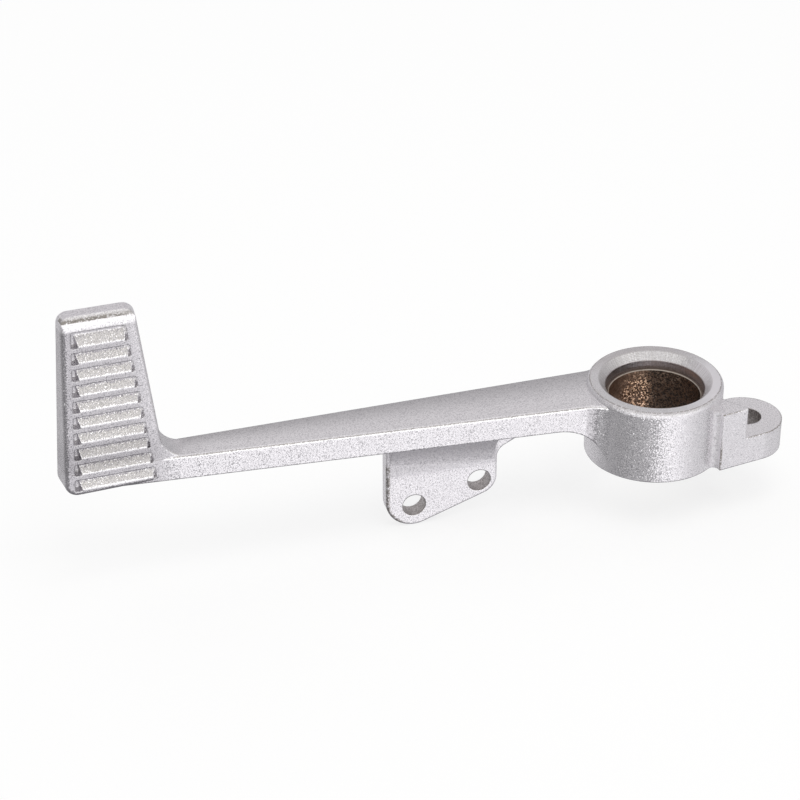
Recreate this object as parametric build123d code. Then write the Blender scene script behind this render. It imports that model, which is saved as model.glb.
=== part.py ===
"""Rear brake pedal: a one-piece casting with a serrated tread, and the plain bush pressed into its boss.

Millimetres. Z is the pivot axis, with z = 0 at half the bush's length. The arm runs along X, from the
tread at -X to the clevis lug at +X, and the tread faces -Y.
"""
import os
from math import acos, cos, radians, sin, sqrt, tan

from build123d import *

# Pivot boss
boss_height = 21.55
boss_foot = -10.5            # z of the boss's lower face
boss_radius = 18.65
brow_radius = 1.9            # cast brow round the machined top face, as tall as the arm's drop
bore_radius = 13.55
bore_mouth_width = 1.9       # chamfer at each end of the bore
bore_mouth_depth = 2.15

# Pivot bush
bush_bore_radius = 12.5
bush_length = 13.4
bush_seat_gap = 0.02         # radial gap that keeps the pressed bush clear of the bore
bush_edge_break = 0.3

# Arm
arm_drop = 1.55              # arm top below the machined boss face
arm_thickness = 6.9
arm_root_x = -20.0
arm_root_front = -6.9
arm_root_back = 11.9
arm_tip_x = -137.0
arm_tip_front = -2.05
arm_tip_back = 6.9
arm_edge_radius = 0.8
root_fillet = 6.6            # plan fillets between the arm and the boss
root_sink = 0.05             # how far inside the boss wall they end
ramp_foot_x = -15.9          # where the swept underside of the arm stands upright
ramp_overrun = 0.6           # how far below the boss it does so

# Tread pad, laid out in its own plane: s along the pad, z up, depth behind the tread face
pad_x = -156.4
pad_y = -3.25
pad_turn = 3.56              # degrees about Z from the arm's direction
pad_top = 54.5
pad_left_foot = -5.9         # s of the left edge at the arm's underside
pad_left_lean = 2.3          # degrees from upright
pad_right_foot = 21.4
pad_right_lean = 7.0
pad_tip_thickness = 5.2
pad_root_thickness = 8.7
pad_draft = 5.5              # degrees, the pad's edge faces spread towards the back
pad_foot_drop = 0.15         # the pad's lower left corner below the arm's underside
pad_top_left_radius = 2.5
pad_top_right_radius = 3.0
pad_foot_radius = 3.4
pad_arm_fillet = 8.0
pad_left_edge_radius = 1.35  # along the left and the foot of the tread face
pad_right_edge_radius = 0.8
pad_back_radius = 1.2        # round the back
pad_brow_height = 3.6        # the tread face curves back along its top
pad_brow_depth = 0.5
pad_bevel_height = 1.25      # between that curve and the top
pad_bevel_depth = 1.0
pad_heel = 9.5               # how far the pad's foot runs on inside the arm
pad_heel_sink = 0.6          # how far its end lies inside the arm's top and underside

# Serrations
row_count = 10
row_pitch = 4.685
top_crest = 46.5             # z of the highest crest
pocket_depth = 2.0
pocket_draft = 12.0          # degrees
pocket_corner = 0.6
bar_height = 1.2             # flat bar left between two pockets
crest_radius = 1.2
crest_foot = 0.45            # from a crest down to the lower edge of its pocket
crest_sink = 0.5             # how far a tooth runs into the bar below it
top_pocket_extra = 1.25      # the highest pocket has no bar above it and is taller
rim_left = 2.4               # flat rim from the pad's edge to the pockets
rim_right = 3.05
tooth_gap_left = 2.0         # from the pocket's end to the crest's end
tooth_gap_right = 0.85
tooth_end_slope = 0.7        # how far a tooth's ends spread from the crest to the pocket floor

# Two-hole tab under the arm
tab_thickness = 4.5
tab_centre_y = 2.5
tab_hole_radius = 3.25
tab_low_hole = (-68.0, -18.4)
tab_high_hole = (-49.65, -13.45)
tab_low_corner = (-67.9, -16.9)
tab_low_radius = 7.9
tab_high_corner = (-49.9, -12.9)
tab_high_radius = 5.4
tab_edge_radius = 0.7
web_corner_z = -4.5          # where the sloped web leaves the tab's right side
web_slope = 27.5             # degrees
web_fillet = 3.8
gusset_low_left = -5.6       # lower edge of the concave blend in front of the tab, at the tab's two sides
gusset_low_right = -8.4
gusset_margin = 0.2          # from the arm's front side to the top of that blend
rear_gusset = 3.5            # size of the plain blend behind the tab
gusset_bite = 0.05           # how far both blends start inside the tab's faces
gusset_inset = 1.0           # from the tab's two sides to the ends of the blends

# Clevis lug
lug_turn = 10.6              # degrees about Z
lug_hole = (25.5, -4.4)
lug_hole_radius = 4.3
lug_end_radius = 10.0
lug_thickness = 8.2
lug_shank = 14.0             # from the hole back to the lug's end beside the boss
block_drop = 4.0             # block top below the machined boss face
block_length = 8.4           # along the lug's front side
block_skew = 30.0            # degrees, the step's turn from square across the lug
block_edge_radius = 0.5
nook_share = 0.8             # of the largest fillet that fits between the block's end and the boss

# Cutting outlines
tool_margin = 1.0            # how far they run past the part

# Levels, radii and planes that follow from the sizes above
boss_top = boss_foot + boss_height
arm_top = boss_top - arm_drop
arm_foot = arm_top - arm_thickness
tab_root = arm_foot + arm_thickness / 2
tab_front = tab_centre_y - tab_thickness / 2
tab_rear = tab_centre_y + tab_thickness / 2
tab_left = tab_low_corner[0] - tab_low_radius
tab_right = tab_high_corner[0] + tab_high_radius
face_radius = boss_radius - brow_radius + sqrt(brow_radius**2 - arm_drop**2)
pad_along = Vector(cos(radians(pad_turn)), sin(radians(pad_turn)), 0)
pad_back = Vector(-sin(radians(pad_turn)), cos(radians(pad_turn)), 0)
pad_plane = Plane(origin=(pad_x, pad_y, 0), x_dir=pad_along, z_dir=-pad_back)
pad_side_plane = Plane(origin=(pad_x, pad_y, 0), x_dir=pad_back, z_dir=pad_along)
lug_along = Vector(cos(radians(lug_turn)), sin(radians(lug_turn)), 0)
lug_plane = Plane(origin=(lug_hole[0], lug_hole[1], boss_foot), x_dir=lug_along, z_dir=(0, 0, 1))


def pad_left(z):
    """s of the pad's left edge at a height."""
    return pad_left_foot + (z - arm_foot) * tan(radians(pad_left_lean))


def pad_right(z):
    """s of the pad's right edge at a height."""
    return pad_right_foot - (z - arm_foot) * tan(radians(pad_right_lean))


def arm_front(x):
    """y of the arm's front side at a station along it."""
    slope = (arm_root_front - arm_tip_front) / (arm_root_x - arm_tip_x)
    return arm_root_front + slope * (x - arm_root_x)


def arm_back(x):
    """y of the arm's back side at a station along it."""
    slope = (arm_root_back - arm_tip_back) / (arm_root_x - arm_tip_x)
    return arm_root_back + slope * (x - arm_root_x)


def make_boss():
    """Solid boss with its cast brow under the machined top face."""
    with BuildPart() as boss:
        with BuildSketch(Plane.XZ):
            with BuildLine():
                Polyline(
                    (boss_radius, arm_top),
                    (boss_radius, boss_foot),
                    (0, boss_foot),
                    (0, boss_top),
                    (face_radius, boss_top),
                )
                RadiusArc((face_radius, boss_top), (boss_radius, arm_top), brow_radius)
            make_face()
        revolve(axis=Axis.Z)
    return boss.part


def make_bore():
    """Tool for the through bore and the chamfer at each of its ends."""
    mouth_radius = bore_radius + bore_mouth_width
    with BuildPart() as bore:
        with BuildSketch(Plane.XZ):
            with BuildLine():
                Polyline(
                    (0, boss_foot),
                    (mouth_radius, boss_foot),
                    (bore_radius, boss_foot + bore_mouth_depth),
                    (bore_radius, boss_top - bore_mouth_depth),
                    (mouth_radius, boss_top),
                    (0, boss_top),
                    close=True,
                )
            make_face()
        revolve(axis=Axis.Z)
    return bore.part


def make_arm():
    """Tapered flat arm, blended into the boss in plan and swept down to the boss's foot underneath."""
    hub_radius = boss_radius - root_sink
    ramp_foot = boss_foot - ramp_overrun
    ramp_radius = arm_foot - ramp_foot
    ramp_start_x = ramp_foot_x - ramp_radius
    end_x = pad_x + pad_heel / 2
    end_front = pad_y + (end_x - pad_x) * tan(radians(pad_turn))
    with BuildPart() as arm:
        with BuildSketch(Plane.XY.offset(boss_foot)) as plan:
            with BuildLine():
                Polyline(
                    (0, arm_front(0)),
                    (end_x, arm_front(end_x)),
                    (end_x, end_front + pad_root_thickness - 2 * pad_back_radius),
                    (arm_tip_x, arm_tip_back),
                    (0, arm_back(0)),
                    close=True,
                )
            make_face()
            Circle(hub_radius)
            on_boss = [v for v in plan.vertices() if abs(Vector(v.X, v.Y).length - hub_radius) < 0.01]
            fillet([v for v in on_boss if v.X < -root_fillet], root_fillet)
        extrude(amount=arm_top - boss_foot)
        rim = arm.faces().sort_by(Axis.Z)[-1].edges()
        fillet(rim.filter_by(lambda e: e.center().X > end_x + tool_margin), arm_edge_radius)
        with BuildSketch(Plane.XZ):
            with BuildLine():
                Polyline(
                    (ramp_start_x, arm_foot),
                    (end_x - tool_margin, arm_foot),
                    (end_x - tool_margin, ramp_foot),
                    (ramp_foot_x, ramp_foot),
                )
                RadiusArc((ramp_foot_x, ramp_foot), (ramp_start_x, arm_foot), -ramp_radius)
            make_face()
        extrude(amount=2 * boss_radius, both=True, mode=Mode.SUBTRACT)
    return arm.part


def pad_outline(rounded_corners):
    """Front outline of the pad and of its heel inside the arm, with some of its corners rounded."""
    foot = arm_foot - pad_foot_drop
    heel = pad_right(arm_top) + pad_heel
    with BuildSketch(pad_plane) as outline:
        with BuildLine():
            Polyline(
                (pad_left(foot), foot),
                (pad_left(pad_top), pad_top),
                (pad_right(pad_top), pad_top),
                (pad_right(arm_top), arm_top),
                (heel, arm_top - pad_heel_sink),
                (heel, arm_foot + pad_heel_sink),
                close=True,
            )
        make_face()
        for corner, radius in rounded_corners:
            fillet(outline.vertices().sort_by_distance(corner)[0], radius)
    return outline.sketch


def make_pad():
    """Tread plate: round-edged, thinner towards its top, and blended into the top of the arm."""
    foot = arm_foot - pad_foot_drop
    depth = Axis((0, 0, 0), pad_back)
    low_corners = [
        ((pad_left(foot), foot), pad_foot_radius),
        ((pad_right(arm_top), arm_top), pad_arm_fillet),
    ]
    top_corners = [
        ((pad_left(pad_top), pad_top), pad_top_left_radius),
        ((pad_right(pad_top), pad_top), pad_top_right_radius),
    ]
    pad = extrude(pad_outline(low_corners), amount=-pad_root_thickness, taper=-pad_draft)
    rim = pad.faces().sort_by(depth)[0].edges()
    pad = fillet(rim.sort_by(Axis.X)[0], pad_left_edge_radius)
    rim = pad.faces().sort_by(depth)[0].edges().filter_by(GeomType.LINE)
    pad = fillet(rim.sort_by(Edge.length)[-2:].sort_by(Axis.X)[-1], pad_right_edge_radius)
    crown = pad_outline(low_corners + top_corners)
    pad = pad & extrude(crown, amount=-pad_root_thickness, taper=-pad_draft)
    brow_foot = (0, pad_top - pad_brow_height)
    brow_top = (pad_brow_depth, pad_top - pad_bevel_height)
    with BuildSketch(pad_side_plane) as side:
        with BuildLine():
            TangentArc(brow_foot, brow_top, tangent=(0, 1))
            Polyline(
                brow_top,
                (pad_brow_depth + pad_bevel_depth, pad_top),
                (pad_brow_depth + pad_bevel_depth, pad_top + tool_margin),
                (pad_tip_thickness, pad_top + tool_margin),
                (pad_root_thickness, foot - tool_margin),
                (0, foot - tool_margin),
                brow_foot,
            )
        make_face()
    pad = pad & extrude(side.sketch, amount=pad_top - arm_foot, both=True)
    return fillet(pad.faces().sort_by(depth)[-1].edges().sort_by(Axis.X)[:-1], pad_back_radius)


def pocket_ends(z):
    """s of a tread pocket's left and right ends at a height."""
    return pad_left(z) + rim_left, pad_right(z) - rim_right


def pocket_span(row):
    """Heights of a pocket's lower and upper edges."""
    foot = top_crest - row * row_pitch - crest_foot
    top = foot + row_pitch - bar_height
    if row == 0:
        top += top_pocket_extra
    return foot, top


def make_tooth(row):
    """One wedge-shaped tooth: a slope from its pocket's floor down to a round crest in the bar below it."""
    foot = top_crest - row * row_pitch - crest_foot
    crest = foot + crest_foot
    root = foot - crest_sink
    slope_top = foot + row_pitch - bar_height - pocket_depth * tan(radians(pocket_draft))
    left, right = pocket_ends(crest)
    crest_left = left + tooth_gap_left
    crest_right = right - tooth_gap_right
    middle = (crest_left + crest_right) / 2
    with BuildPart() as tooth:
        with BuildSketch(pad_plane.offset(-pocket_depth)):
            with Locations((middle, (root + slope_top) / 2)):
                Rectangle(crest_right - crest_left + 2 * tooth_end_slope, slope_top - root)
        with BuildSketch(pad_plane):
            with Locations((middle, (root + crest) / 2)):
                Rectangle(crest_right - crest_left, crest - root)
        loft(ruled=True)
        front = tooth.faces().sort_by(Axis((0, 0, 0), pad_back))[0]
        fillet(front.edges().sort_by(Axis.Z)[-1], crest_radius)
    return tooth.part


def make_pocket(row):
    """Tool for one drafted tread pocket with rounded corners, leaving its tooth standing."""
    low, high = pocket_span(row)
    low_left, low_right = pocket_ends(low)
    high_left, high_right = pocket_ends(high)
    with BuildPart() as pocket:
        with BuildSketch(pad_plane) as mouth:
            with BuildLine():
                Polyline((low_left, low), (low_right, low), (high_right, high), (high_left, high), close=True)
            make_face()
            fillet(mouth.vertices(), pocket_corner)
        extrude(amount=-pocket_depth, taper=pocket_draft)
    return pocket.part - make_tooth(row)


def make_tab():
    """Plate under the arm, round at its lower corners, with a sloped web towards the boss."""
    web_end = tab_right + (tab_root - web_corner_z) / tan(radians(web_slope))
    with BuildPart() as tab:
        with BuildSketch(Plane.XZ.offset(-tab_centre_y)) as outline:
            with BuildLine():
                CenterArc(tab_low_corner, tab_low_radius, 0, 360)
                CenterArc(tab_high_corner, tab_high_radius, 0, 360)
                Line((tab_left, tab_root), (tab_right, tab_root))
            make_hull()
            with BuildLine():
                Polyline((tab_right, web_corner_z), (web_end, tab_root), (tab_right, tab_root), close=True)
            make_face()
            fillet(outline.vertices().sort_by_distance((tab_right, web_corner_z))[0], web_fillet)
        extrude(amount=tab_thickness / 2, both=True)
        sides = tab.faces().filter_by(Axis.Y)
        fillet([e for f in sides for e in f.edges() if e.center().Z < tab_root - 0.1], tab_edge_radius)
    return tab.part


def make_gusset(start_y, ends):
    """Concave blend from one face of the tab up to the arm's underside, between two ends."""
    with BuildPart() as gusset:
        for x, reach_y, low in ends:
            with BuildSketch(Plane.YZ.offset(x)):
                with BuildLine():
                    TangentArc((start_y, low), (reach_y, arm_foot), tangent=(0, 1))
                    Polyline(
                        (reach_y, arm_foot),
                        (reach_y, tab_root),
                        (tab_centre_y, tab_root),
                        (tab_centre_y, low),
                        (start_y, low),
                    )
                make_face()
        loft(ruled=True)
    return gusset.part


def make_front_gusset():
    """Blend in front of the tab, deeper towards the boss."""
    left = tab_left + gusset_inset
    right = tab_right - gusset_inset
    return make_gusset(tab_front + gusset_bite, (
        (left, arm_front(left) + gusset_margin, gusset_low_left),
        (right, arm_front(right) + gusset_margin, gusset_low_right),
    ))


def make_rear_gusset():
    """Plain blend behind the tab."""
    reach_y = tab_rear + rear_gusset
    low = arm_foot - rear_gusset
    return make_gusset(tab_rear - gusset_bite, (
        (tab_left + gusset_inset, reach_y, low),
        (tab_right - gusset_inset, reach_y, low),
    ))


def make_tab_holes():
    """Tools for the tab's two holes."""
    with BuildPart() as holes:
        with BuildSketch(Plane.XZ.offset(-tab_centre_y)):
            with Locations(tab_low_hole, tab_high_hole):
                Circle(tab_hole_radius)
        extrude(amount=tab_thickness, both=True)
    return holes.part


def make_lug():
    """Clevis lug, flush with the foot of the boss, and the skewed block that shoulders it."""
    block_height = boss_height - block_drop
    step = lug_shank - block_length
    reach = 1.2 * lug_end_radius
    with BuildPart() as lug:
        with BuildSketch(lug_plane):
            Circle(lug_end_radius)
            with Locations((-lug_shank / 2, 0)):
                Rectangle(lug_shank, 2 * lug_end_radius)
        extrude(amount=lug_thickness)
        with BuildPart(mode=Mode.PRIVATE) as block:
            with BuildSketch(lug_plane) as step_plan:
                with BuildLine():
                    Polyline(
                        (-lug_shank, -lug_end_radius),
                        (-step, -lug_end_radius),
                        (-step - reach * tan(radians(block_skew)), -lug_end_radius + reach),
                        (-lug_shank, -lug_end_radius + reach),
                        close=True,
                    )
                make_face()
                fillet(step_plan.vertices().sort_by_distance((-step, -lug_end_radius))[0], block_edge_radius)
            extrude(amount=block_height)
        add(block.part)
    return lug.part


def make_lug_hole():
    """Tool for the clevis pin hole."""
    with BuildPart() as hole:
        with BuildSketch(lug_plane):
            Circle(lug_hole_radius)
        extrude(amount=boss_height)
    return hole.part


def nook_radius():
    """Radius of the fillet between the block's end and the boss wall, from the depth and angle there."""
    boss_centre = lug_plane.to_local_coords(Vector(0, 0, boss_foot))
    aside = -lug_shank - boss_centre.X
    wall = boss_centre.Y - sqrt(boss_radius**2 - aside**2)
    depth = wall + lug_end_radius
    opening = acos(aside / boss_radius)
    return nook_share * depth * tan(opening / 2)


def join_lug(boss, lug):
    """Boss and lug in one, with a fillet in the nook beside the lug's block."""
    joined = boss + lug
    upright = joined.edges().filter_by(Axis.Z)
    on_boss = [e for e in upright if abs(Vector(e.center().X, e.center().Y).length - boss_radius) < 0.01]
    return fillet([e for e in on_boss if e.center().Y < lug_hole[1]], nook_radius())


def make_casting():
    """The whole casting, drilled and bored."""
    body = join_lug(make_boss(), make_lug()) + make_arm() + make_pad() + make_tab()
    body = body + make_front_gusset() + make_rear_gusset()
    body = body - make_bore() - make_lug_hole() - make_tab_holes()
    return body - [make_pocket(row) for row in range(row_count)]


def make_bush():
    """Plain bush, set back from both boss faces."""
    bush = Cylinder(bore_radius - bush_seat_gap, bush_length) - Cylinder(bush_bore_radius, bush_length)
    rims = bush.edges().filter_by(GeomType.CIRCLE)
    inner = rims.filter_by(lambda e: abs(e.radius - bush_bore_radius) < 0.01)
    return chamfer(inner, bush_edge_break)


if __name__ == "__main__":
    os.makedirs("parts", exist_ok=True)
    export_step(make_casting(), "parts/pedal_casting.step")
    export_step(make_bush(), "parts/pivot_bush.step")
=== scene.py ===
"""Studio picture of the rear brake pedal: grainy cast alloy, a sintered bronze bush and a pale floor.

Metres, in the same frame as the CAD. The materials work in millimetres.
"""
from math import tau

import bpy
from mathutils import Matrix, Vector


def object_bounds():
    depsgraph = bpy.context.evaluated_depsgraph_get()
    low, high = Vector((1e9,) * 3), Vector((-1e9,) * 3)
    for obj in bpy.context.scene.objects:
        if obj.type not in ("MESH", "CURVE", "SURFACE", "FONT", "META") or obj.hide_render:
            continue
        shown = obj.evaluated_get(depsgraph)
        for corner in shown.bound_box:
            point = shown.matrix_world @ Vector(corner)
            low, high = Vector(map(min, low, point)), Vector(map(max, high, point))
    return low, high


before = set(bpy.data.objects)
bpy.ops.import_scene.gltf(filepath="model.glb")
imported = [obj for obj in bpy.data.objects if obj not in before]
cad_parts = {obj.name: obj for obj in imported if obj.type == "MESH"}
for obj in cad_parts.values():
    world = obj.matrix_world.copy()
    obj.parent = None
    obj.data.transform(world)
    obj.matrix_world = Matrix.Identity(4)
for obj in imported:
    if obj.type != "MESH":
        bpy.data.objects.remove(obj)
cad_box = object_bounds()

# Places on the pedal that its materials treat in their own way, in millimetres
millimetres = 1000.0            # in a metre
pivot = (0.0, 0.0, 0.0)
boss_radius = 18.65
boss_top = 11.05
boss_foot = -10.5
ring_edge = 17.85
chamfer_edge = 15.5
bush_seat_edge = 13.57
bush_top = 6.7
bush_lip = 12.76
lug_hole = (25.5, -4.4, 0.0)
lug_hole_edge = 4.45
lug_radius = 10.0
lug_top = -2.3
lug_slope = 0.187               # of the lug's front side, y for each x
block_corner = (13.6, -16.8, 0.0)
block_step_x = 21.8
block_top = 7.05
nook_place = (12.9, -13.6, 0.0)
nook_size = 2.6
tab_holes = ((-68.0, 0.0, -18.4), (-49.65, 0.0, -13.45))
tab_hole_edge = 3.4
tab_corner = (-67.9, -16.9)     # x and z
tab_corner_radius = 7.9
tab_span = (-77.0, -44.0)
arm_foot = 2.6
arm_top = 9.5
arm_root = (-20.0, -6.9, 11.9)  # x, y in front and y behind
arm_tip = (-137.0, -2.05, 6.9)
tread_start_x = -129.0
tread_full_x = -142.0
tread_top = 50.6
pad_lean = 0.12                 # x for each z
bevel_foot = 53.25
edge_fade = 0.1

# Axes that count in a distance from a bore or from a hole in the tab
across_bore = (1.0, 1.0, 0.0)
across_tab = (1.0, 0.0, 1.0)

# Where each mask starts and where it is full: machined faces
upper_ring_fade = (boss_top - 0.2, boss_top - 0.05)
lower_ring_fade = (boss_foot + 0.2, boss_foot + 0.05)
ring_fade = (ring_edge, ring_edge - edge_fade)
mouth_fade = (chamfer_edge, chamfer_edge - edge_fade)
seat_fade = (bush_seat_edge + edge_fade, bush_seat_edge)
lug_hole_fade = (lug_hole_edge, lug_hole_edge - edge_fade)
tab_hole_fade = (tab_hole_edge, tab_hole_edge - edge_fade)
ring_right_x = (-4.0, 13.0)
ring_right_y = (9.0, 1.0)
ring_back_y = (6.0, 14.0)
ring_back_inner = (chamfer_edge - edge_fade, chamfer_edge)
chamfer_line_inner = (chamfer_edge - 0.2, chamfer_edge - 0.08)
chamfer_line_outer = (chamfer_edge + 0.12, chamfer_edge)

# The pad and the arm, with the parts of the normal that choose faces
tread_top_fade = (tread_top + 0.8, tread_top)
tread_not_up = (0.45, 0.2)
tread_not_back = (0.4, 0.1)
tread_not_left = (-0.85, -0.6)
flat_up = (0.8, 0.95)
brow_right = (tread_start_x, tread_start_x - 2.0)
brow_foot = (tread_top - 1.0, tread_top)
arm_back_across = (0.2, 1.15)   # shares of the arm's width
arm_back_above = (arm_top + 0.4, arm_top + 0.1)
arm_back_below = (arm_top - 1.0, arm_top - 0.5)
root_left = (arm_root[0] - 2.3, arm_root[0] - 1.2)
root_right = (arm_root[0] + 1.9, arm_root[0] + 0.5)
root_front = (arm_root[1] + 1.4, arm_root[1] + 0.4)
root_below = (arm_top - 0.2, arm_top - 0.6)
corner_left = (arm_tip[0] + 14.0, arm_tip[0] + 8.0)
corner_foot = (arm_top - 0.2, arm_top + 0.4)
corner_top = (arm_top + 11.0, arm_top + 4.0)

# The nook beside the lug, the blend in front of the tab and the boss's brow
nook_fade = (nook_size, nook_size - 0.8)
blend_left = (tab_span[0], tab_span[0] + 1.0)
blend_right = (tab_span[1], tab_span[1] - 1.0)
blend_top = (arm_foot, arm_foot - 0.3)
blend_foot = (-11.0, -6.0)
blend_front = (0.7, 0.4)
shoulder_inner = (ring_edge, ring_edge + edge_fade)
shoulder_outer = (boss_radius + 0.15, boss_radius + 0.05)
shoulder_foot = (boss_top - 1.6, boss_top - 1.3)

# Chipped edges, and painted dark shade lines along rounded edges
bevel_below = (bevel_foot - 0.05, bevel_foot + 0.05)
bevel_above = (bevel_foot + 1.0, bevel_foot + 0.5)
bevel_left = (-138.0, -147.0)
bevel_front = (-0.2, -0.8)
tab_rim_fade = (tab_corner_radius - 1.2, tab_corner_radius - 0.8)
tab_rim_left = (-69.0, -73.0)
tab_rim_top = (-4.0, -6.0)
tab_rim_front = (1.2, 0.9)
ring_line_inner = (ring_edge - 0.25, ring_edge - 0.1)
ring_line_outer = (ring_edge + 0.25, ring_edge + 0.1)
ring_line_foot = (boss_top - 0.35, boss_top - 0.15)
arm_line_below = (arm_top - 0.45, arm_top - 0.3)
arm_line_above = (arm_top - 0.05, arm_top - 0.2)
arm_line_front = (0.8, 0.6)     # behind the arm's front side
arm_line_right = (arm_root[0], arm_root[0] - 2.0)
lug_line_front = (0.35, 0.2)    # behind the lug's front side
lug_nose_fade = (lug_radius - 0.35, lug_radius - 0.2)
lug_nose_right = (lug_hole[0], lug_hole[0] + 1.0)
lug_nose_front = (lug_hole[1], lug_hole[1] - 2.0)
ledge_below = (lug_top - 0.35, lug_top - 0.2)
ledge_above = (lug_top + 0.15, lug_top + 0.05)
ledge_left = (block_step_x, block_step_x + 0.2)
block_line_below = (block_top - 0.35, block_top - 0.2)
block_line_left = (block_corner[0] - 0.3, block_corner[0] - 0.1)
block_line_right = (block_step_x - 1.0, block_step_x - 4.0)
block_corner_fade = (0.5, 0.3)
block_corner_top = (lug_top + 2.0, lug_top - 2.0)

# How strongly the weaker masks count
pad_side_share = 0.74
pad_corner_share = 0.7
shoulder_share = 0.7
nook_shade_share = 0.45
ring_right_share = 0.9
ring_line_share = 0.7
arm_line_share = 0.55
chamfer_line_share = 1.6

# Finish of the casting, and the painted shade and painted highlight tints laid on it
cast_dark = (0.68, 0.67, 0.69)
cast_light = (1.0, 0.985, 1.0)
cast_chance = (0.25, 0.62)
cast_metallic = 0.95
cast_rough = (0.17, 0.23)
grain_scale = 3.0
grain_detail = 1.0
grain_roughness = 0.6
grain_centre = (0.5, 0.5, 0.5)
grain_tilt = 0.95
machined_tilt_loss = 0.55
skin_scale = 0.35
skin_detail = 2.0
skin_chance = (0.3, 0.7)
edge_round = 0.0005             # metres
edge_samples = 8
bump_strength = 0.3
bump_depth = 0.0001             # metres
# Tread tint: partly its duller finish, partly painted shade in place of the darker reflection of its face
tread_finish_and_shade_tint = (0.635, 0.63, 0.64)
# Painted shade across the arm's flat top, darker towards its back
arm_top_shade_tint = (0.57, 0.57, 0.575)
# Painted shade in the arm's nook at the boss and in its corner with the pad
arm_end_shade_tint = (0.74, 0.735, 0.74)
# Painted shade in the nooks and blends
nook_shade_tint = (0.83, 0.825, 0.835)
sheltered_rough = 0.6
# Painted shade on the pad's flat top
pad_top_shade_tint = (0.92, 0.915, 0.925)
brow_rough = 0.36
machined_dark = (0.70, 0.69, 0.70)
machined_light = (0.90, 0.89, 0.90)
# Painted highlight on the right side of the turned faces
machined_painted_highlight = (0.98, 0.965, 0.99)
machined_chance = (0.3, 0.7)
machined_extra_rough = 0.12
turning_waves = 22.0            # radians for each millimetre of radius
# Painted shade on the back of the upper ring
ring_back_shade_tint = (0.87, 0.85, 0.845)
chatter_tint = (0.84, 0.83, 0.82)
chatter_waves = 34.0            # for each radian round the bore
chatter_scale = 1.0
chatter_detail = 2.0
chatter_chance = (0.38, 0.60)
# Painted shade on the seat wall inside the bore
seat_shade_tint = (0.66, 0.625, 0.635)
# Painted shade on the walls of the holes, with a speckle
hole_shade_dark = (0.34, 0.32, 0.31)
hole_shade_light = (0.66, 0.63, 0.62)
hole_chance = (0.4, 0.6)
# Dark tint for chips and painted shade lines on edges
chip_and_shade_line_tint = (0.42, 0.40, 0.37)
chip_scale = 1.7
chip_detail = 2.0
chip_chance = (0.36, 0.52)

# Finish of the bush, with painted light, shade and reflection across its bore
bronze_dark = (0.070, 0.059, 0.052)
bronze_lit_brown = (0.37, 0.245, 0.18)
bronze_fleck = (1.0, 0.68, 0.48)
bronze_end = (0.20, 0.16, 0.135)
bronze_lip = (0.60, 0.54, 0.47)
bronze_metallic = 1.0
bronze_rough = 0.42
cloud_scale = 0.5
cloud_detail = 3.0
cloud_roughness = 0.6
cloud_reach = 3.0
lit_brown_x = (6.0, -3.0)
fleck_scale = 3.0
fleck_chance = (0.38, 0.48)
fleck_least = 0.12
fleck_polish = 0.2
fleck_centre = (0.5, 0.5, 0.05)
fleck_tilt = 0.7
bronze_tilt = 0.35
# Where the flecks show most: a painted reflection on the bore's left
glint_left = (-7.5, -2.5)
glint_right = (5.5, 0.5)
glint_height = (6.0, 1.0)
glint_top_share = 0.3
bush_end_fade = (bush_top - 0.35, bush_top - 0.2)
bush_lip_fade = (bush_lip, bush_lip - 0.15)

# Studio room: levels by heading in degrees, 0 in front, and limits by height, from -1 below to 1 overhead
white = (1.0, 1.0, 1.0)
room_level = 0.62
room_headings = (
    (-180, 0.64), (-150, 0.60), (-125, 0.48), (-100, 0.38), (-80, 0.25), (-50, 0.37), (-15, 0.43),
    (-4, 1.0), (25, 1.0), (43, 0.81), (58, 0.645), (115, 0.635), (140, 0.55), (180, 0.64),
)
room_tint = (1.0, 0.985, 1.01)
soft_box_colour = (1.55, 1.55, 1.55)
soft_box_foot = (-0.25, 0.0)
soft_box_top = (0.5, 0.3)
soft_box_left = (-93.6, -57.6)
soft_box_right = (72.0, 43.2)
high_front_colour = (0.65, 0.63, 0.595)
high_back_colour = (0.61, 0.592, 0.605)
high_back_y = (-0.2, 0.3)
high_foot = (0.15, 0.5)
overhead_colour = (0.80, 0.785, 0.80)
overhead_foot = (0.65, 0.95)
underfoot_colour = (0.26, 0.255, 0.27)
underfoot_top = (-0.6, -0.92)

# Floor, lamps and camera
floor_size = 8.0
floor_colour = (0.97, 0.97, 0.97)
floor_glow = 0.75
lamp_aim = Vector((-0.07, 0.0, 0.0))
key_place = Vector((0.10, -0.30, 1.15))
key_size = 0.9
key_power = 6.0
key_colour = (1.0, 0.99, 0.97)
fill_place = Vector((-0.5, 0.9, 0.8))
fill_size = 1.0
fill_power = 2.0
fill_colour = (0.97, 0.98, 1.0)
camera_place = Vector((-0.2214, -0.5460, 0.3585))
camera_aim = Vector((0.2257, 0.8252, -0.5179))
camera_lens = 112.5
camera_sensor = 36.0
glossy_bounces = 10


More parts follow.
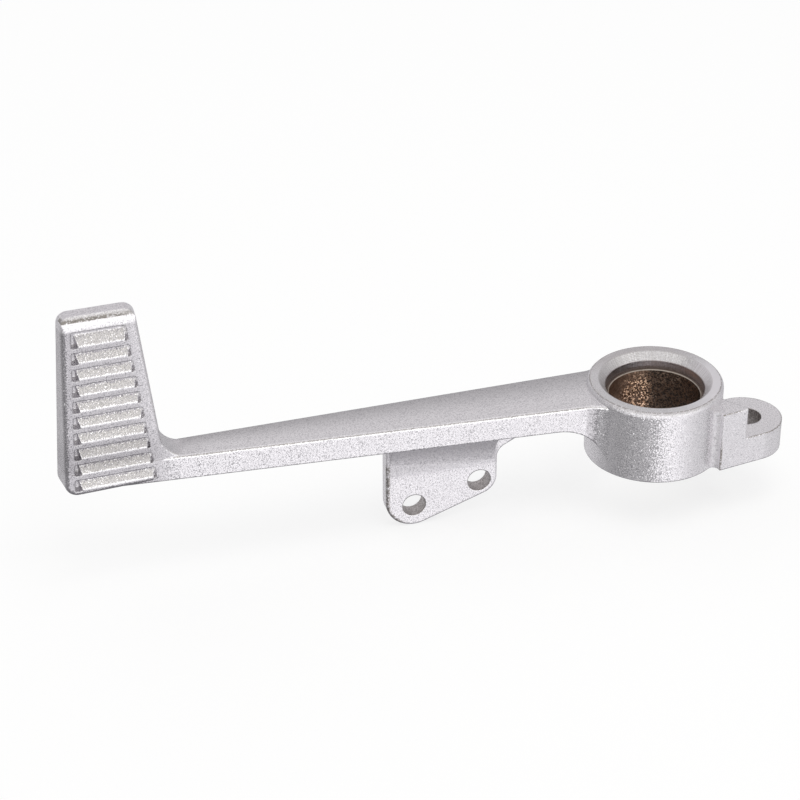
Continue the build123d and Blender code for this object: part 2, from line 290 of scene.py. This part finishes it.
class Graph:
    """A shader node tree with short calls for the nodes used here."""

    def __init__(self, tree):
        self.tree = tree
        tree.nodes.clear()

    def node(self, kind, inputs=(), **settings):
        """Adds a node. Inputs are pairs of a socket's name or number and a value or another socket."""
        made = self.tree.nodes.new(kind)
        for name, value in settings.items():
            setattr(made, name, value)
        for name, value in inputs:
            self.feed(made.inputs[name], value)
        return made

    def feed(self, socket, value):
        """Links a socket, or sets its own value."""
        if isinstance(value, bpy.types.NodeSocket):
            self.tree.links.new(value, socket)
        elif socket.type == "RGBA":
            socket.default_value = (*value, 1.0)
        else:
            socket.default_value = value

    def math(self, operation, *values):
        """Arithmetic on numbers."""
        return self.node("ShaderNodeMath", enumerate(values), operation=operation).outputs[0]

    def vector(self, operation, *values):
        """Arithmetic on vectors."""
        return self.node("ShaderNodeVectorMath", enumerate(values), operation=operation).outputs[0]

    def scaled(self, vector, scale):
        """A vector times a number."""
        inputs = ((0, vector), ("Scale", scale))
        return self.node("ShaderNodeVectorMath", inputs, operation="SCALE").outputs[0]

    def axes(self, vector):
        """The three parts of a vector."""
        return self.node("ShaderNodeSeparateXYZ", ((0, vector),)).outputs

    def distance(self, place, point, keep):
        """Distance from a point, along the axes that are kept."""
        flat = self.vector("MULTIPLY", self.vector("SUBTRACT", place, point), keep)
        return self.node("ShaderNodeVectorMath", ((0, flat),), operation="LENGTH").outputs["Value"]

    def ramp(self, value, start, end, low=0.0, high=1.0):
        """Smooth step of a value between two limits."""
        made = self.node(
            "ShaderNodeMapRange",
            ((0, value), (1, start), (2, end), (3, low), (4, high)),
            interpolation_type="SMOOTHSTEP",
        )
        return made.outputs[0]

    def all_of(self, first, *others):
        """Product of masks."""
        for mask in others:
            first = self.math("MULTIPLY", first, mask)
        return first

    def any_of(self, first, *others):
        """The strongest of some masks."""
        for mask in others:
            first = self.math("MAXIMUM", first, mask)
        return first

    def mix(self, share, first, second, blend="MIX"):
        """Mixes two colours."""
        made = self.node(
            "ShaderNodeMix",
            ((0, share), (6, first), (7, second)),
            data_type="RGBA",
            blend_type=blend,
        )
        return made.outputs[2]

    def tint(self, mask, colour, tint):
        """A colour that is multiplied by a tint where the mask is."""
        return self.mix(mask, colour, self.mix(1.0, colour, tint, "MULTIPLY"))

    def noise(self, place, scale, detail, roughness=0.55):
        """Fractal noise: a number from 0 to 1, and a colour."""
        inputs = (("Vector", place), ("Scale", scale), ("Detail", detail), ("Roughness", roughness))
        return self.node("ShaderNodeTexNoise", inputs).outputs

    def first_channel(self, colour):
        """A colour's first channel."""
        return self.node("ShaderNodeSeparateColor", ((0, colour),)).outputs[0]

    def leaning(self, normal, colour, centre, tilt):
        """A normal that leans by a noise colour's distance from its centre."""
        lean = self.scaled(self.vector("SUBTRACT", colour, centre), tilt)
        return self.vector("NORMALIZE", self.vector("ADD", normal, lean))

    def seen(self):
        """Mask of the rays that show a surface: straight, mirrored or through glass."""
        path = self.node("ShaderNodeLightPath").outputs
        return self.any_of(path["Is Camera Ray"], path["Is Glossy Ray"], path["Is Transmission Ray"])

    def metal(self, colour, metallic, rough, normal):
        """Metal surface as the material's output."""
        inputs = (("Base Color", colour), ("Metallic", metallic), ("Roughness", rough), ("Normal", normal))
        shader = self.node("ShaderNodeBsdfPrincipled", inputs)
        self.node("ShaderNodeOutputMaterial", ((0, shader.outputs[0]),))


class Spot:
    """Where a shaded point of the object lies, in millimetres, and which way its surface faces."""

    def __init__(self, graph):
        metres = graph.node("ShaderNodeTexCoord").outputs["Object"]
        self.place = graph.scaled(metres, millimetres)
        self.x, self.y, self.z = graph.axes(self.place)
        self.radius = graph.distance(self.place, pivot, across_bore)
        self.normal = graph.node("ShaderNodeNewGeometry").outputs["Normal"]
        self.facing_x, self.facing_y, self.facing_z = graph.axes(self.normal)


def new_material(name):
    """An empty node material and its graph."""
    made = bpy.data.materials.new(name)
    made.use_nodes = True
    return made, Graph(made.node_tree)


def turned_faces(graph, spot):
    """Mask of the boss's machined rings, chamfers and bore."""
    ends = graph.any_of(graph.ramp(spot.z, *upper_ring_fade), graph.ramp(spot.z, *lower_ring_fade))
    ring = graph.all_of(ends, graph.ramp(spot.radius, *ring_fade))
    return graph.any_of(ring, graph.ramp(spot.radius, *mouth_fade))


def drilled_holes(graph, spot):
    """Mask of the walls of the lug's hole and the tab's holes."""
    holes = [graph.ramp(graph.distance(spot.place, lug_hole, across_bore), *lug_hole_fade)]
    for point in tab_holes:
        holes.append(graph.ramp(graph.distance(spot.place, point, across_tab), *tab_hole_fade))
    return graph.any_of(*holes)


def tread_face(graph, spot):
    """Mask of the pad's tread, for its duller finish and for painted shade in place of its darker
    reflection, weaker on its left side, and not on its back or on upward faces.
    """
    across = graph.math("MULTIPLY_ADD", spot.z, pad_lean, spot.x)
    return graph.all_of(
        graph.ramp(across, tread_start_x, tread_full_x),
        graph.ramp(spot.z, *tread_top_fade),
        graph.ramp(spot.facing_z, *tread_not_up),
        graph.ramp(spot.facing_y, *tread_not_back),
        graph.ramp(spot.facing_x, *tread_not_left, pad_side_share, 1.0),
    )


def pad_brow(graph, spot):
    """Mask of the pad's brow and top."""
    return graph.all_of(graph.ramp(spot.x, *brow_right), graph.ramp(spot.z, *brow_foot))


def across_arm(graph, spot):
    """Distance behind the arm's front side, and the arm's width, at a place along the arm."""
    run = arm_root[0] - arm_tip[0]
    front_slope = (arm_root[1] - arm_tip[1]) / run
    width_slope = (arm_root[2] - arm_tip[2]) / run - front_slope
    front_start = arm_root[1] - front_slope * arm_root[0]
    width_start = arm_root[2] - arm_root[1] - width_slope * arm_root[0]
    front = graph.math("MULTIPLY_ADD", spot.x, front_slope, front_start)
    width = graph.math("MULTIPLY_ADD", spot.x, width_slope, width_start)
    return graph.math("SUBTRACT", spot.y, front), width


def arm_top_shade_mask(graph, spot):
    """Mask of painted shade that grows across the arm's flat top, from its front to its back."""
    behind, width = across_arm(graph, spot)
    return graph.all_of(
        graph.ramp(graph.math("DIVIDE", behind, width), *arm_back_across),
        graph.ramp(spot.facing_z, *flat_up),
        graph.ramp(spot.z, *arm_back_above),
        graph.ramp(spot.z, *arm_back_below),
    )


def arm_end_shade(graph, spot):
    """Mask of painted shade in the arm's front nook at the boss and in its corner with the pad."""
    root = graph.all_of(
        graph.ramp(spot.x, *root_left),
        graph.ramp(spot.x, *root_right),
        graph.ramp(spot.y, *root_front),
        graph.ramp(spot.z, *root_below),
    )
    corner = graph.all_of(
        graph.ramp(spot.x, *corner_left),
        graph.ramp(spot.z, *corner_foot),
        graph.ramp(spot.z, *corner_top),
        pad_corner_share,
    )
    return graph.any_of(root, corner)


def lug_nook(graph, spot):
    """Mask of the nook between the boss and the lug's block."""
    return graph.ramp(graph.distance(spot.place, nook_place, across_bore), *nook_fade)


def sheltered_blends(graph, spot):
    """Mask of the blend in front of the tab and of the boss's brow."""
    blend = graph.all_of(
        graph.ramp(spot.x, *blend_left),
        graph.ramp(spot.x, *blend_right),
        graph.ramp(spot.z, *blend_top),
        graph.ramp(spot.z, *blend_foot),
        graph.ramp(spot.y, *blend_front),
    )
    shoulder = graph.all_of(
        graph.ramp(spot.radius, *shoulder_inner),
        graph.ramp(spot.z, *shoulder_foot),
        graph.ramp(spot.radius, *shoulder_outer),
        shoulder_share,
    )
    return graph.any_of(blend, shoulder)


def bevel_edge(graph, spot):
    """Mask of the front of the pad's top bevel."""
    return graph.all_of(
        graph.ramp(spot.z, *bevel_below),
        graph.ramp(spot.z, *bevel_above),
        graph.ramp(spot.x, *bevel_left),
        graph.ramp(spot.y, *bevel_front),
    )


def tab_edge(graph, spot):
    """Mask of the rim of the tab's left side and lower left corner."""
    across = graph.math("SUBTRACT", spot.x, tab_corner[0])
    below = graph.math("MINIMUM", graph.math("SUBTRACT", spot.z, tab_corner[1]), 0.0)
    squares = graph.math("ADD", graph.math("MULTIPLY", across, across), graph.math("MULTIPLY", below, below))
    return graph.all_of(
        graph.ramp(graph.math("SQRT", squares), *tab_rim_fade),
        graph.ramp(spot.x, *tab_rim_left),
        graph.ramp(spot.z, *tab_rim_top),
        graph.ramp(spot.y, *tab_rim_front),
    )


def ring_line(graph, spot):
    """Mask of the line where the upper ring meets the boss's brow."""
    return graph.all_of(
        graph.ramp(spot.radius, *ring_line_inner),
        graph.ramp(spot.radius, *ring_line_outer),
        graph.ramp(spot.z, *ring_line_foot),
        ring_line_share,
    )


def arm_line(graph, spot):
    """Mask of the arm's upper front edge."""
    behind, _ = across_arm(graph, spot)
    return graph.all_of(
        graph.ramp(spot.z, *arm_line_below),
        graph.ramp(spot.z, *arm_line_above),
        graph.ramp(behind, *arm_line_front),
        graph.ramp(spot.x, *arm_line_right),
        arm_line_share,
    )


def lug_lines(graph, spot):
    """Mask of the lug's upper front edge, the block's upper front edge and the foot of its left corner."""
    front_start = block_corner[1] - lug_slope * block_corner[0]
    front_y = graph.math("MULTIPLY_ADD", spot.x, lug_slope, front_start)
    front = graph.ramp(graph.math("SUBTRACT", spot.y, front_y), *lug_line_front)
    nose = graph.all_of(
        graph.ramp(graph.distance(spot.place, lug_hole, across_bore), *lug_nose_fade),
        graph.ramp(spot.x, *lug_nose_right),
        graph.ramp(spot.y, *lug_nose_front),
    )
    ledge = graph.all_of(
        graph.ramp(spot.z, *ledge_below),
        graph.ramp(spot.z, *ledge_above),
        graph.ramp(spot.x, *ledge_left),
        graph.any_of(front, nose),
    )
    block = graph.all_of(
        graph.ramp(spot.z, *block_line_below),
        front,
        graph.ramp(spot.x, *block_line_right),
        graph.ramp(spot.x, *block_line_left),
    )
    corner = graph.all_of(
        graph.ramp(graph.distance(spot.place, block_corner, across_bore), *block_corner_fade),
        graph.ramp(spot.z, *block_corner_top),
    )
    return graph.any_of(ledge, block, corner)


def chips_and_shade_lines(graph, spot):
    """Mask of broken dark specks along the casting's edges: chips on the tab, and painted shade lines on the
    rounded edges of the arm, pad bevel, ring and lug.
    """
    edges = graph.any_of(
        bevel_edge(graph, spot),
        ring_line(graph, spot),
        tab_edge(graph, spot),
        arm_line(graph, spot),
        lug_lines(graph, spot),
    )
    specks = graph.noise(spot.place, chip_scale, chip_detail)[0]
    return graph.all_of(edges, graph.ramp(specks, *chip_chance))


def tint_casting(graph, spot, colour):
    """The cast colour: the tread duller and in painted shade, and painted shade on the arm's top towards its
    back, at the arm's ends, in the nooks and blends and on the pad's top.
    """
    colour = graph.tint(tread_face(graph, spot), colour, tread_finish_and_shade_tint)
    colour = graph.tint(arm_top_shade_mask(graph, spot), colour, arm_top_shade_tint)
    colour = graph.tint(arm_end_shade(graph, spot), colour, arm_end_shade_tint)
    # Painted shade in the nook beside the lug, in the blend in front of the tab and at the boss's brow
    nook = graph.all_of(lug_nook(graph, spot), nook_shade_share)
    colour = graph.tint(graph.any_of(sheltered_blends(graph, spot), nook), colour, nook_shade_tint)
    # Painted shade on the pad's flat top
    pad_top = graph.all_of(pad_brow(graph, spot), graph.ramp(spot.facing_z, *flat_up))
    return graph.tint(pad_top, colour, pad_top_shade_tint)


def tint_turned(graph, spot, colour, chance, turned):
    """Colour with the turned faces: a painted highlight on the right, painted shade behind, chatter on the
    chamfer and painted shade on the bore's seat.
    """
    plain = graph.mix(graph.ramp(chance, *machined_chance), machined_dark, machined_light)
    colour = graph.mix(turned, colour, plain)
    # Painted highlight: the turned faces lighter on the right
    right_share = graph.ramp(spot.x, *ring_right_x, 0.0, ring_right_share)
    right = graph.all_of(turned, right_share, graph.ramp(spot.y, *ring_right_y))
    colour = graph.mix(right, colour, machined_painted_highlight)
    # Painted shade on the back of the upper ring
    back = graph.all_of(turned, graph.ramp(spot.y, *ring_back_y), graph.ramp(spot.radius, *ring_back_inner))
    colour = graph.tint(back, colour, ring_back_shade_tint)
    around = graph.math("MULTIPLY", graph.math("ARCTAN2", spot.y, spot.x), chatter_waves)
    sweep = graph.node("ShaderNodeCombineXYZ", ((0, around),)).outputs[0]
    strokes = graph.ramp(graph.noise(sweep, chatter_scale, chatter_detail)[0], *chatter_chance)
    chatter = graph.all_of(graph.ramp(spot.radius, *mouth_fade), strokes)
    line = graph.all_of(
        graph.ramp(spot.radius, *chamfer_line_inner),
        graph.ramp(spot.radius, *chamfer_line_outer),
        chamfer_line_share,
    )
    colour = graph.tint(graph.any_of(chatter, line), colour, chatter_tint)
    # Painted shade on the seat wall inside the bore
    return graph.tint(graph.ramp(spot.radius, *seat_fade), colour, seat_shade_tint)


def cast_roughness(graph, spot, skin, machined):
    """Satin, a little rougher where machined, and matt on the pad's brow and in sheltered places."""
    rough = graph.ramp(skin, *skin_chance, *cast_rough)
    rough = graph.math("ADD", rough, graph.math("MULTIPLY", machined, machined_extra_rough))
    sheltered = graph.any_of(lug_nook(graph, spot), sheltered_blends(graph, spot))
    return graph.any_of(
        rough,
        graph.all_of(pad_brow(graph, spot), brow_rough),
        graph.all_of(sheltered, sheltered_rough),
    )


def cast_normal(graph, spot, skin, grain, machined):
    """Normal with rounded edges, turning lines on machined faces and the lean of the cast grain."""
    turning = graph.math("SINE", graph.math("MULTIPLY", spot.radius, turning_waves))
    height = graph.node("ShaderNodeMix", ((0, machined), (2, skin), (3, turning))).outputs[0]
    rounded = graph.node("ShaderNodeBevel", (("Radius", edge_round),), samples=edge_samples).outputs[0]
    bump = graph.node(
        "ShaderNodeBump",
        (("Strength", bump_strength), ("Distance", bump_depth), ("Height", height), ("Normal", rounded)),
    ).outputs[0]
    tilt = graph.math("MULTIPLY_ADD", machined, -machined_tilt_loss * grain_tilt, grain_tilt)
    return graph.leaning(bump, grain, grain_centre, tilt)


def cast_alloy():
    """Grainy silver casting with a duller tread, turned faces, drilled holes and chipped edges, with painted
    shade, painted highlights and painted shade lines on its edges.
    """
    material, graph = new_material("cast_alloy")
    spot = Spot(graph)
    turned = turned_faces(graph, spot)
    drilled = drilled_holes(graph, spot)
    machined = graph.any_of(turned, drilled)
    grain = graph.noise(spot.place, grain_scale, grain_detail, grain_roughness)["Color"]
    chance = graph.first_channel(grain)
    skin = graph.noise(spot.place, skin_scale, skin_detail)[0]

    colour = graph.mix(graph.ramp(chance, *cast_chance), cast_dark, cast_light)
    colour = tint_casting(graph, spot, colour)
    colour = tint_turned(graph, spot, colour, chance, turned)
    # The walls of the holes in painted shade, speckled
    speckled = graph.mix(graph.ramp(chance, *hole_chance), hole_shade_dark, hole_shade_light)
    colour = graph.mix(drilled, colour, speckled)
    # Dark broken lines on the edges: chips, and painted shade lines
    colour = graph.tint(chips_and_shade_lines(graph, spot), colour, chip_and_shade_line_tint)

    rough = cast_roughness(graph, spot, skin, machined)
    normal = cast_normal(graph, spot, skin, grain, machined)
    graph.metal(colour, cast_metallic, rough, normal)
    return material


def bronze_flecks(graph, spot, chance):
    """Mask of the copper flecks, most of them on the left of the bore, where they are a painted reflection.
    """
    glint = graph.all_of(
        graph.ramp(spot.x, *glint_left),
        graph.ramp(spot.x, *glint_right),
        graph.ramp(spot.z, *glint_height, glint_top_share, 1.0),
    )
    return graph.all_of(graph.ramp(chance, *fleck_chance), graph.ramp(glint, 0.0, 1.0, fleck_least, 1.0))


def sintered_bronze():
    """Dark oil-soaked bronze, painted browner on the left and dark on the right as painted light and shade,
    with copper flecks shown most on the left as a painted reflection, and a bright lip at each end.
    """
    material, graph = new_material("sintered_bronze")
    spot = Spot(graph)
    voronoi = graph.node("ShaderNodeTexVoronoi", (("Vector", spot.place), ("Scale", fleck_scale)))
    cells = voronoi.outputs["Color"]
    fleck = bronze_flecks(graph, spot, graph.first_channel(cells))
    cloud = graph.noise(spot.place, cloud_scale, cloud_detail, cloud_roughness)[0]
    # Painted light and shade: browner on the bore's left, dark on its right
    brown = graph.ramp(graph.math("MULTIPLY_ADD", cloud, cloud_reach, spot.x), *lit_brown_x)
    end = graph.ramp(graph.math("ABSOLUTE", spot.z), *bush_end_fade)
    lip = graph.all_of(end, graph.ramp(spot.radius, *bush_lip_fade))

    colour = graph.mix(brown, bronze_dark, bronze_lit_brown)
    colour = graph.mix(fleck, colour, bronze_fleck)
    colour = graph.mix(end, colour, bronze_end)
    colour = graph.mix(lip, colour, bronze_lip)
    rough = graph.math("MULTIPLY_ADD", fleck, -fleck_polish, bronze_rough)
    tilt = graph.math("MULTIPLY_ADD", fleck, fleck_tilt, bronze_tilt)
    normal = graph.leaning(spot.normal, cells, fleck_centre, tilt)
    graph.metal(colour, bronze_metallic, rough, normal)
    return material


def floor_material():
    """Matt white paper that glows a little, so that it comes out near white and still takes the shadow."""
    material, graph = new_material("pale_floor")
    paper = graph.node("ShaderNodeBsdfDiffuse", (("Color", floor_colour),)).outputs[0]
    glow = graph.node("ShaderNodeEmission", (("Color", white), ("Strength", 1.0))).outputs[0]
    share = graph.math("MULTIPLY", graph.seen(), floor_glow)
    lit = graph.node("ShaderNodeMixShader", ((0, share), (1, paper), (2, glow))).outputs[0]
    graph.node("ShaderNodeOutputMaterial", ((0, lit),))
    return material


def make_floor():
    """Plain floor under the lowest point of the pedal."""
    half = floor_size / 2
    level = cad_box[0].z
    corners = [(-half, -half, level), (half, -half, level), (half, half, level), (-half, half, level)]
    mesh = bpy.data.meshes.new("floor")
    mesh.from_pydata(corners, [], [(0, 1, 2, 3)])
    floor = bpy.data.objects.new("floor", mesh)
    bpy.context.scene.collection.objects.link(floor)
    mesh.materials.append(floor_material())
    floor.visible_glossy = False


def share_of_turn(degrees):
    """A heading as a share of a full turn, 0 and 1 behind and 0.5 in front."""
    return degrees / 360 + 0.5


def room_band(graph, turn):
    """The room's level at eye height, by heading."""
    band = graph.node("ShaderNodeValToRGB", ((0, turn),))
    while len(band.color_ramp.elements) < len(room_headings):
        band.color_ramp.elements.new(0.5)
    for element, (degrees, level) in zip(band.color_ramp.elements, room_headings):
        element.position = share_of_turn(degrees)
        element.color = (*(level * part for part in room_tint), 1.0)
    return band.outputs[0]


def soft_box(graph, turn, height):
    """Mask of a wide soft box low in front."""
    left_start, left_full = (share_of_turn(degrees) for degrees in soft_box_left)
    right_start, right_full = (share_of_turn(degrees) for degrees in soft_box_right)
    tall = graph.all_of(graph.ramp(height, *soft_box_foot), graph.ramp(height, *soft_box_top))
    wide = graph.all_of(graph.ramp(turn, left_start, left_full), graph.ramp(turn, right_start, right_full))
    return graph.all_of(tall, wide)


def light_world():
    """Pale studio room for reflections, dim on the left, and one plain level for soft light."""
    world = bpy.data.worlds.new("studio")
    bpy.context.scene.world = world
    world.use_nodes = True
    graph = Graph(world.node_tree)
    x, y, height = graph.axes(graph.node("ShaderNodeTexCoord").outputs["Generated"])
    heading = graph.math("ARCTAN2", x, graph.math("MULTIPLY", y, -1.0))
    turn = graph.math("MULTIPLY_ADD", heading, 1 / tau, 0.5)
    high = graph.mix(graph.ramp(y, *high_back_y), high_front_colour, high_back_colour)
    room = graph.mix(graph.ramp(height, *high_foot), room_band(graph, turn), high)
    room = graph.mix(soft_box(graph, turn, height), room, soft_box_colour)
    room = graph.mix(graph.ramp(height, *overhead_foot), room, overhead_colour)
    room = graph.mix(graph.ramp(height, *underfoot_top), room, underfoot_colour)
    shown = graph.node("ShaderNodeBackground", (("Color", room), ("Strength", 1.0))).outputs[0]
    plain = graph.node("ShaderNodeBackground", (("Color", white), ("Strength", room_level))).outputs[0]
    both = graph.node("ShaderNodeMixShader", ((0, graph.seen()), (1, plain), (2, shown))).outputs[0]
    graph.node("ShaderNodeOutputWorld", ((0, both),))


def place_facing(name, data, place, direction):
    """Puts a lamp or the camera at a place, looking along a direction."""
    made = bpy.data.objects.new(name, data)
    made.location = place
    made.rotation_mode = "QUATERNION"
    made.rotation_quaternion = direction.to_track_quat("-Z", "Y")
    bpy.context.scene.collection.objects.link(made)
    return made


def add_lamp(name, place, size, power, colour):
    """Soft square area lamp that leaves the gloss to the room."""
    lamp = bpy.data.lights.new(name, "AREA")
    lamp.shape = "SQUARE"
    lamp.size = size
    lamp.energy = power
    lamp.color = colour
    made = place_facing(name, lamp, place, lamp_aim - place)
    made.visible_glossy = False


def add_camera():
    """Camera at the photograph's angle."""
    data = bpy.data.cameras.new("camera")
    data.lens = camera_lens
    data.sensor_width = camera_sensor
    bpy.context.scene.camera = place_facing("camera", data, camera_place, camera_aim)


def dress(node, material):
    """Gives a CAD node its finish."""
    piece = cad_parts[node]
    piece.data.materials.clear()
    piece.data.materials.append(material)


dress("pedal_casting", cast_alloy())
dress("pivot_bush", sintered_bronze())
make_floor()
light_world()
add_lamp("key", key_place, key_size, key_power, key_colour)
add_lamp("fill", fill_place, fill_size, fill_power, fill_colour)
add_camera()
bpy.context.scene.view_settings.view_transform = "Standard"
bpy.context.scene.cycles.glossy_bounces = glossy_bounces
